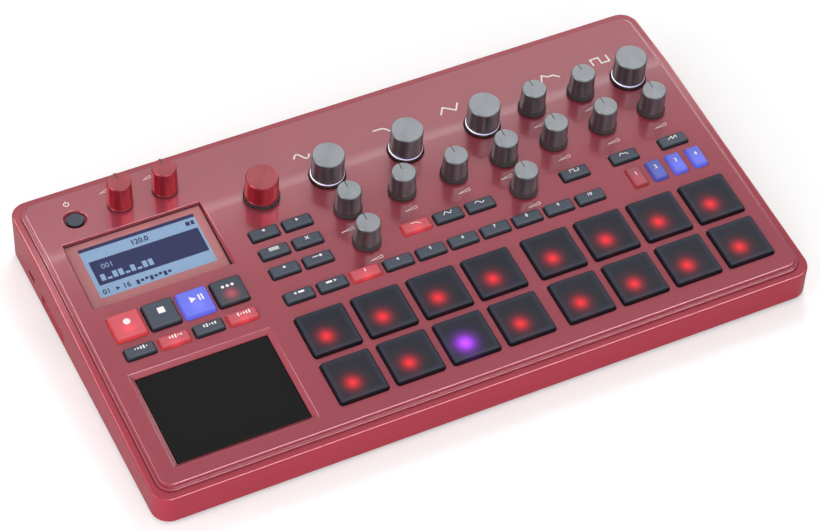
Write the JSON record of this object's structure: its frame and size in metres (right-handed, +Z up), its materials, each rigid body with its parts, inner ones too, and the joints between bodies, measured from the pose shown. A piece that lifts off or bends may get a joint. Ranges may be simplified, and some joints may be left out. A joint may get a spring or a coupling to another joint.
{
  "type": "drum machine",
  "caption": "Desktop drum machine with a wedge case, sprung pads and keys, turning knobs, a display and a touch pad.",
  "frame": {"origin": "centre of the footprint, on the table under the rubber feet", "axes": "+X to the right along the front, +Y from the player to the rear sockets, +Z up"},
  "size_m": [0.339, 0.187, 0.0461],
  "materials": {
    "case_paint": "satin metallic red paint",
    "panel_paint": "satin metallic red paint",
    "window": "clear",
    "display": "backlit blue-grey",
    "touch_black": "fine matt black",
    "circuit_board": "green solder mask",
    "control_metal": "plain",
    "ring_light": "clear light guide",
    "socket_black": "black moulding",
    "cell_sleeve": "bare cell sleeve",
    "foot_rubber": "matt",
    "screw_steel": "black zinc",
    "grip_rubber": "ribbed",
    "key_rubber": "matt blue-grey, lit from below",
    "knob_red": "red anodised, turned",
    "knob_grey": "grey anodised, turned",
    "pad_rubber": "matt dark blue-grey silicone"
  },
  "bodies": {
    "chassis": {"bottom_case": "case_paint", "top_panel": "panel_paint", "display_window": "window", "display_module": "display", "touch_pad": "touch_black", "main_board": "circuit_board", "rear_boards": "circuit_board", "rotary_controls": "control_metal", "light_rings": "ring_light", "sockets": "socket_black", "battery_door": "case_paint", "batteries": "cell_sleeve", "feet": "foot_rubber", "case_screws": "screw_steel"},
    "small_knob_01": {"small_knob_01": "knob_grey"},
    "small_knob_02": {"small_knob_02": "knob_grey"},
    "small_knob_03": {"small_knob_03": "knob_grey"},
    "small_knob_04": {"small_knob_04": "knob_grey"},
    "small_knob_05": {"small_knob_05": "knob_grey"},
    "small_knob_06": {"small_knob_06": "knob_grey"},
    "small_knob_07": {"small_knob_07": "knob_grey"},
    "small_knob_08": {"small_knob_08": "knob_grey"},
    "small_knob_09": {"small_knob_09": "knob_grey"},
    "small_knob_10": {"small_knob_10": "knob_grey"},
    "small_knob_11": {"small_knob_11": "knob_grey"},
    "large_knob_1": {"large_knob_1": "knob_grey"},
    "large_knob_2": {"large_knob_2": "knob_grey"},
    "large_knob_3": {"large_knob_3": "knob_grey"},
    "large_knob_4": {"large_knob_4": "knob_grey"},
    "value_knob": {"value_knob": "knob_red", "encoder_grip_ring": "grip_rubber"},
    "red_knob_left": {"red_knob_left": "knob_red"},
    "red_knob_right": {"red_knob_right": "knob_red"},
    "pad_01": {"pad_01": "pad_rubber"},
    "pad_02": {"pad_02": "pad_rubber"},
    "pad_03": {"pad_03": "pad_rubber"},
    "pad_04": {"pad_04": "pad_rubber"},
    "pad_05": {"pad_05": "pad_rubber"},
    "pad_06": {"pad_06": "pad_rubber"},
    "pad_07": {"pad_07": "pad_rubber"},
    "pad_08": {"pad_08": "pad_rubber"},
    "pad_09": {"pad_09": "pad_rubber"},
    "pad_10": {"pad_10": "pad_rubber"},
    "pad_11": {"pad_11": "pad_rubber"},
    "pad_12": {"pad_12": "pad_rubber"},
    "pad_13": {"pad_13": "pad_rubber"},
    "pad_14": {"pad_14": "pad_rubber"},
    "pad_15": {"pad_15": "pad_rubber"},
    "pad_16": {"pad_16": "pad_rubber"},
    "menu_keys": {"menu_keys": "key_rubber"},
    "mode_keys": {"mode_keys": "key_rubber"},
    "filter_keys": {"filter_keys": "key_rubber"},
    "section_keys": {"section_keys": "key_rubber"},
    "bank_keys": {"bank_keys": "key_rubber"},
    "touch_keys": {"touch_keys": "key_rubber"},
    "record_key": {"record_key": "key_rubber"},
    "stop_key": {"stop_key": "key_rubber"},
    "play_key": {"play_key": "key_rubber"},
    "tap_key": {"tap_key": "key_rubber"},
    "power_button": {"power_button": "key_rubber"}
  },
  "joints": [
    {"name": "small_knob_01_turn", "type": "hinge", "parent": "chassis", "child": "small_knob_01", "pos_m": [-0.02165, 0.02488, 0.02878], "axis": [0, -0.0698, 0.9976], "range_deg": [-150, 150]},
    {"name": "small_knob_02_turn", "type": "hinge", "parent": "chassis", "child": "small_knob_02", "pos_m": [0.00715, 0.02488, 0.02878], "axis": [0, -0.0698, 0.9976], "range_deg": [-150, 150]},
    {"name": "small_knob_03_turn", "type": "hinge", "parent": "chassis", "child": "small_knob_03", "pos_m": [0.03505, 0.02488, 0.02878], "axis": [0, -0.0698, 0.9976], "range_deg": [-150, 150]},
    {"name": "small_knob_04_turn", "type": "hinge", "parent": "chassis", "child": "small_knob_04", "pos_m": [0.06215, 0.02488, 0.02878], "axis": [0, -0.0698, 0.9976], "range_deg": [-150, 150]},
    {"name": "small_knob_05_turn", "type": "hinge", "parent": "chassis", "child": "small_knob_05", "pos_m": [0.08955, 0.02488, 0.02878], "axis": [0, -0.0698, 0.9976], "range_deg": [-150, 150]},
    {"name": "small_knob_06_turn", "type": "hinge", "parent": "chassis", "child": "small_knob_06", "pos_m": [0.11685, 0.02488, 0.02878], "axis": [0, -0.0698, 0.9976], "range_deg": [-150, 150]},
    {"name": "small_knob_07_turn", "type": "hinge", "parent": "chassis", "child": "small_knob_07", "pos_m": [0.14405, 0.02488, 0.02878], "axis": [0, -0.0698, 0.9976], "range_deg": [-150, 150]},
    {"name": "small_knob_08_turn", "type": "hinge", "parent": "chassis", "child": "small_knob_08", "pos_m": [-0.02165, 0.00353, 0.02729], "axis": [0, -0.0698, 0.9976], "range_deg": [-150, 150]},
    {"name": "small_knob_09_turn", "type": "hinge", "parent": "chassis", "child": "small_knob_09", "pos_m": [0.06215, 0.00353, 0.02729], "axis": [0, -0.0698, 0.9976], "range_deg": [-150, 150]},
    {"name": "small_knob_10_turn", "type": "hinge", "parent": "chassis", "child": "small_knob_10", "pos_m": [0.08955, 0.04832, 0.03042], "axis": [0, -0.0698, 0.9976], "range_deg": [-150, 150]},
    {"name": "small_knob_11_turn", "type": "hinge", "parent": "chassis", "child": "small_knob_11", "pos_m": [0.11685, 0.04832, 0.03042], "axis": [0, -0.0698, 0.9976], "range_deg": [-150, 150]},
    {"name": "large_knob_1_turn", "type": "hinge", "parent": "chassis", "child": "large_knob_1", "pos_m": [-0.02185, 0.04812, 0.0304], "axis": [0, -0.0698, 0.9976], "continuous": true},
    {"name": "large_knob_2_turn", "type": "hinge", "parent": "chassis", "child": "large_knob_2", "pos_m": [0.02005, 0.04812, 0.0304], "axis": [0, -0.0698, 0.9976], "continuous": true},
    {"name": "large_knob_3_turn", "type": "hinge", "parent": "chassis", "child": "large_knob_3", "pos_m": [0.06195, 0.04812, 0.0304], "axis": [0, -0.0698, 0.9976], "continuous": true},
    {"name": "large_knob_4_turn", "type": "hinge", "parent": "chassis", "child": "large_knob_4", "pos_m": [0.14365, 0.04812, 0.0304], "axis": [0, -0.0698, 0.9976], "continuous": true},
    {"name": "value_knob_turn", "type": "hinge", "parent": "chassis", "child": "value_knob", "pos_m": [-0.05665, 0.04782, 0.03038], "axis": [0, -0.0698, 0.9976], "continuous": true},
    {"name": "red_knob_left_turn", "type": "hinge", "parent": "chassis", "child": "red_knob_left", "pos_m": [-0.11995, 0.0712, 0.03069], "axis": [0, 0, 1], "range_deg": [-150, 150]},
    {"name": "red_knob_right_turn", "type": "hinge", "parent": "chassis", "child": "red_knob_right", "pos_m": [-0.09685, 0.0712, 0.03069], "axis": [0, 0, 1], "range_deg": [-150, 150]},
    {"name": "pad_01_press", "type": "slide", "parent": "chassis", "child": "pad_01", "axis": [0, 0.0698, -0.9976], "range_m": [0, 0.0008], "stiffness_N_per_m": 600, "springref_m": -0.001},
    {"name": "pad_02_press", "type": "slide", "parent": "chassis", "child": "pad_02", "axis": [0, 0.0698, -0.9976], "range_m": [0, 0.0008], "stiffness_N_per_m": 600, "springref_m": -0.001},
    {"name": "pad_03_press", "type": "slide", "parent": "chassis", "child": "pad_03", "axis": [0, 0.0698, -0.9976], "range_m": [0, 0.0008], "stiffness_N_per_m": 600, "springref_m": -0.001},
    {"name": "pad_04_press", "type": "slide", "parent": "chassis", "child": "pad_04", "axis": [0, 0.0698, -0.9976], "range_m": [0, 0.0008], "stiffness_N_per_m": 600, "springref_m": -0.001},
    {"name": "pad_05_press", "type": "slide", "parent": "chassis", "child": "pad_05", "axis": [0, 0.0698, -0.9976], "range_m": [0, 0.0008], "stiffness_N_per_m": 600, "springref_m": -0.001},
    {"name": "pad_06_press", "type": "slide", "parent": "chassis", "child": "pad_06", "axis": [0, 0.0698, -0.9976], "range_m": [0, 0.0008], "stiffness_N_per_m": 600, "springref_m": -0.001},
    {"name": "pad_07_press", "type": "slide", "parent": "chassis", "child": "pad_07", "axis": [0, 0.0698, -0.9976], "range_m": [0, 0.0008], "stiffness_N_per_m": 600, "springref_m": -0.001},
    {"name": "pad_08_press", "type": "slide", "parent": "chassis", "child": "pad_08", "axis": [0, 0.0698, -0.9976], "range_m": [0, 0.0008], "stiffness_N_per_m": 600, "springref_m": -0.001},
    {"name": "pad_09_press", "type": "slide", "parent": "chassis", "child": "pad_09", "axis": [0, 0.0698, -0.9976], "range_m": [0, 0.0008], "stiffness_N_per_m": 600, "springref_m": -0.001},
    {"name": "pad_10_press", "type": "slide", "parent": "chassis", "child": "pad_10", "axis": [0, 0.0698, -0.9976], "range_m": [0, 0.0008], "stiffness_N_per_m": 600, "springref_m": -0.001},
    {"name": "pad_11_press", "type": "slide", "parent": "chassis", "child": "pad_11", "axis": [0, 0.0698, -0.9976], "range_m": [0, 0.0008], "stiffness_N_per_m": 600, "springref_m": -0.001},
    {"name": "pad_12_press", "type": "slide", "parent": "chassis", "child": "pad_12", "axis": [0, 0.0698, -0.9976], "range_m": [0, 0.0008], "stiffness_N_per_m": 600, "springref_m": -0.001},
    {"name": "pad_13_press", "type": "slide", "parent": "chassis", "child": "pad_13", "axis": [0, 0.0698, -0.9976], "range_m": [0, 0.0008], "stiffness_N_per_m": 600, "springref_m": -0.001},
    {"name": "pad_14_press", "type": "slide", "parent": "chassis", "child": "pad_14", "axis": [0, 0.0698, -0.9976], "range_m": [0, 0.0008], "stiffness_N_per_m": 600, "springref_m": -0.001},
    {"name": "pad_15_press", "type": "slide", "parent": "chassis", "child": "pad_15", "axis": [0, 0.0698, -0.9976], "range_m": [0, 0.0008], "stiffness_N_per_m": 600, "springref_m": -0.001},
    {"name": "pad_16_press", "type": "slide", "parent": "chassis", "child": "pad_16", "axis": [0, 0.0698, -0.9976], "range_m": [0, 0.0008], "stiffness_N_per_m": 600, "springref_m": -0.001},
    {"name": "menu_keys_press", "type": "slide", "parent": "chassis", "child": "menu_keys", "axis": [0, 0.0698, -0.9976], "range_m": [0, 0.001], "stiffness_N_per_m": 800, "springref_m": -0.001},
    {"name": "mode_keys_press", "type": "slide", "parent": "chassis", "child": "mode_keys", "axis": [0, 0.0698, -0.9976], "range_m": [0, 0.001], "stiffness_N_per_m": 800, "springref_m": -0.001},
    {"name": "filter_keys_press", "type": "slide", "parent": "chassis", "child": "filter_keys", "axis": [0, 0.0698, -0.9976], "range_m": [0, 0.001], "stiffness_N_per_m": 800, "springref_m": -0.001},
    {"name": "section_keys_press", "type": "slide", "parent": "chassis", "child": "section_keys", "axis": [0, 0.0698, -0.9976], "range_m": [0, 0.001], "stiffness_N_per_m": 800, "springref_m": -0.001},
    {"name": "bank_keys_press", "type": "slide", "parent": "chassis", "child": "bank_keys", "axis": [0, 0.0698, -0.9976], "range_m": [0, 0.001], "stiffness_N_per_m": 800, "springref_m": -0.001},
    {"name": "touch_keys_press", "type": "slide", "parent": "chassis", "child": "touch_keys", "axis": [0, 0.0698, -0.9976], "range_m": [0, 0.001], "stiffness_N_per_m": 800, "springref_m": -0.001},
    {"name": "record_key_press", "type": "slide", "parent": "chassis", "child": "record_key", "axis": [0, 0.0698, -0.9976], "range_m": [0, 0.001], "stiffness_N_per_m": 500, "springref_m": -0.001},
    {"name": "stop_key_press", "type": "slide", "parent": "chassis", "child": "stop_key", "axis": [0, 0.0698, -0.9976], "range_m": [0, 0.001], "stiffness_N_per_m": 500, "springref_m": -0.001},
    {"name": "play_key_press", "type": "slide", "parent": "chassis", "child": "play_key", "axis": [0, 0.0698, -0.9976], "range_m": [0, 0.001], "stiffness_N_per_m": 500, "springref_m": -0.001},
    {"name": "tap_key_press", "type": "slide", "parent": "chassis", "child": "tap_key", "axis": [0, 0.0698, -0.9976], "range_m": [0, 0.001], "stiffness_N_per_m": 500, "springref_m": -0.001},
    {"name": "power_button_press", "type": "slide", "parent": "chassis", "child": "power_button", "axis": [0, 0, -1], "range_m": [0, 0.0012], "stiffness_N_per_m": 400, "springref_m": -0.001}
  ]
}
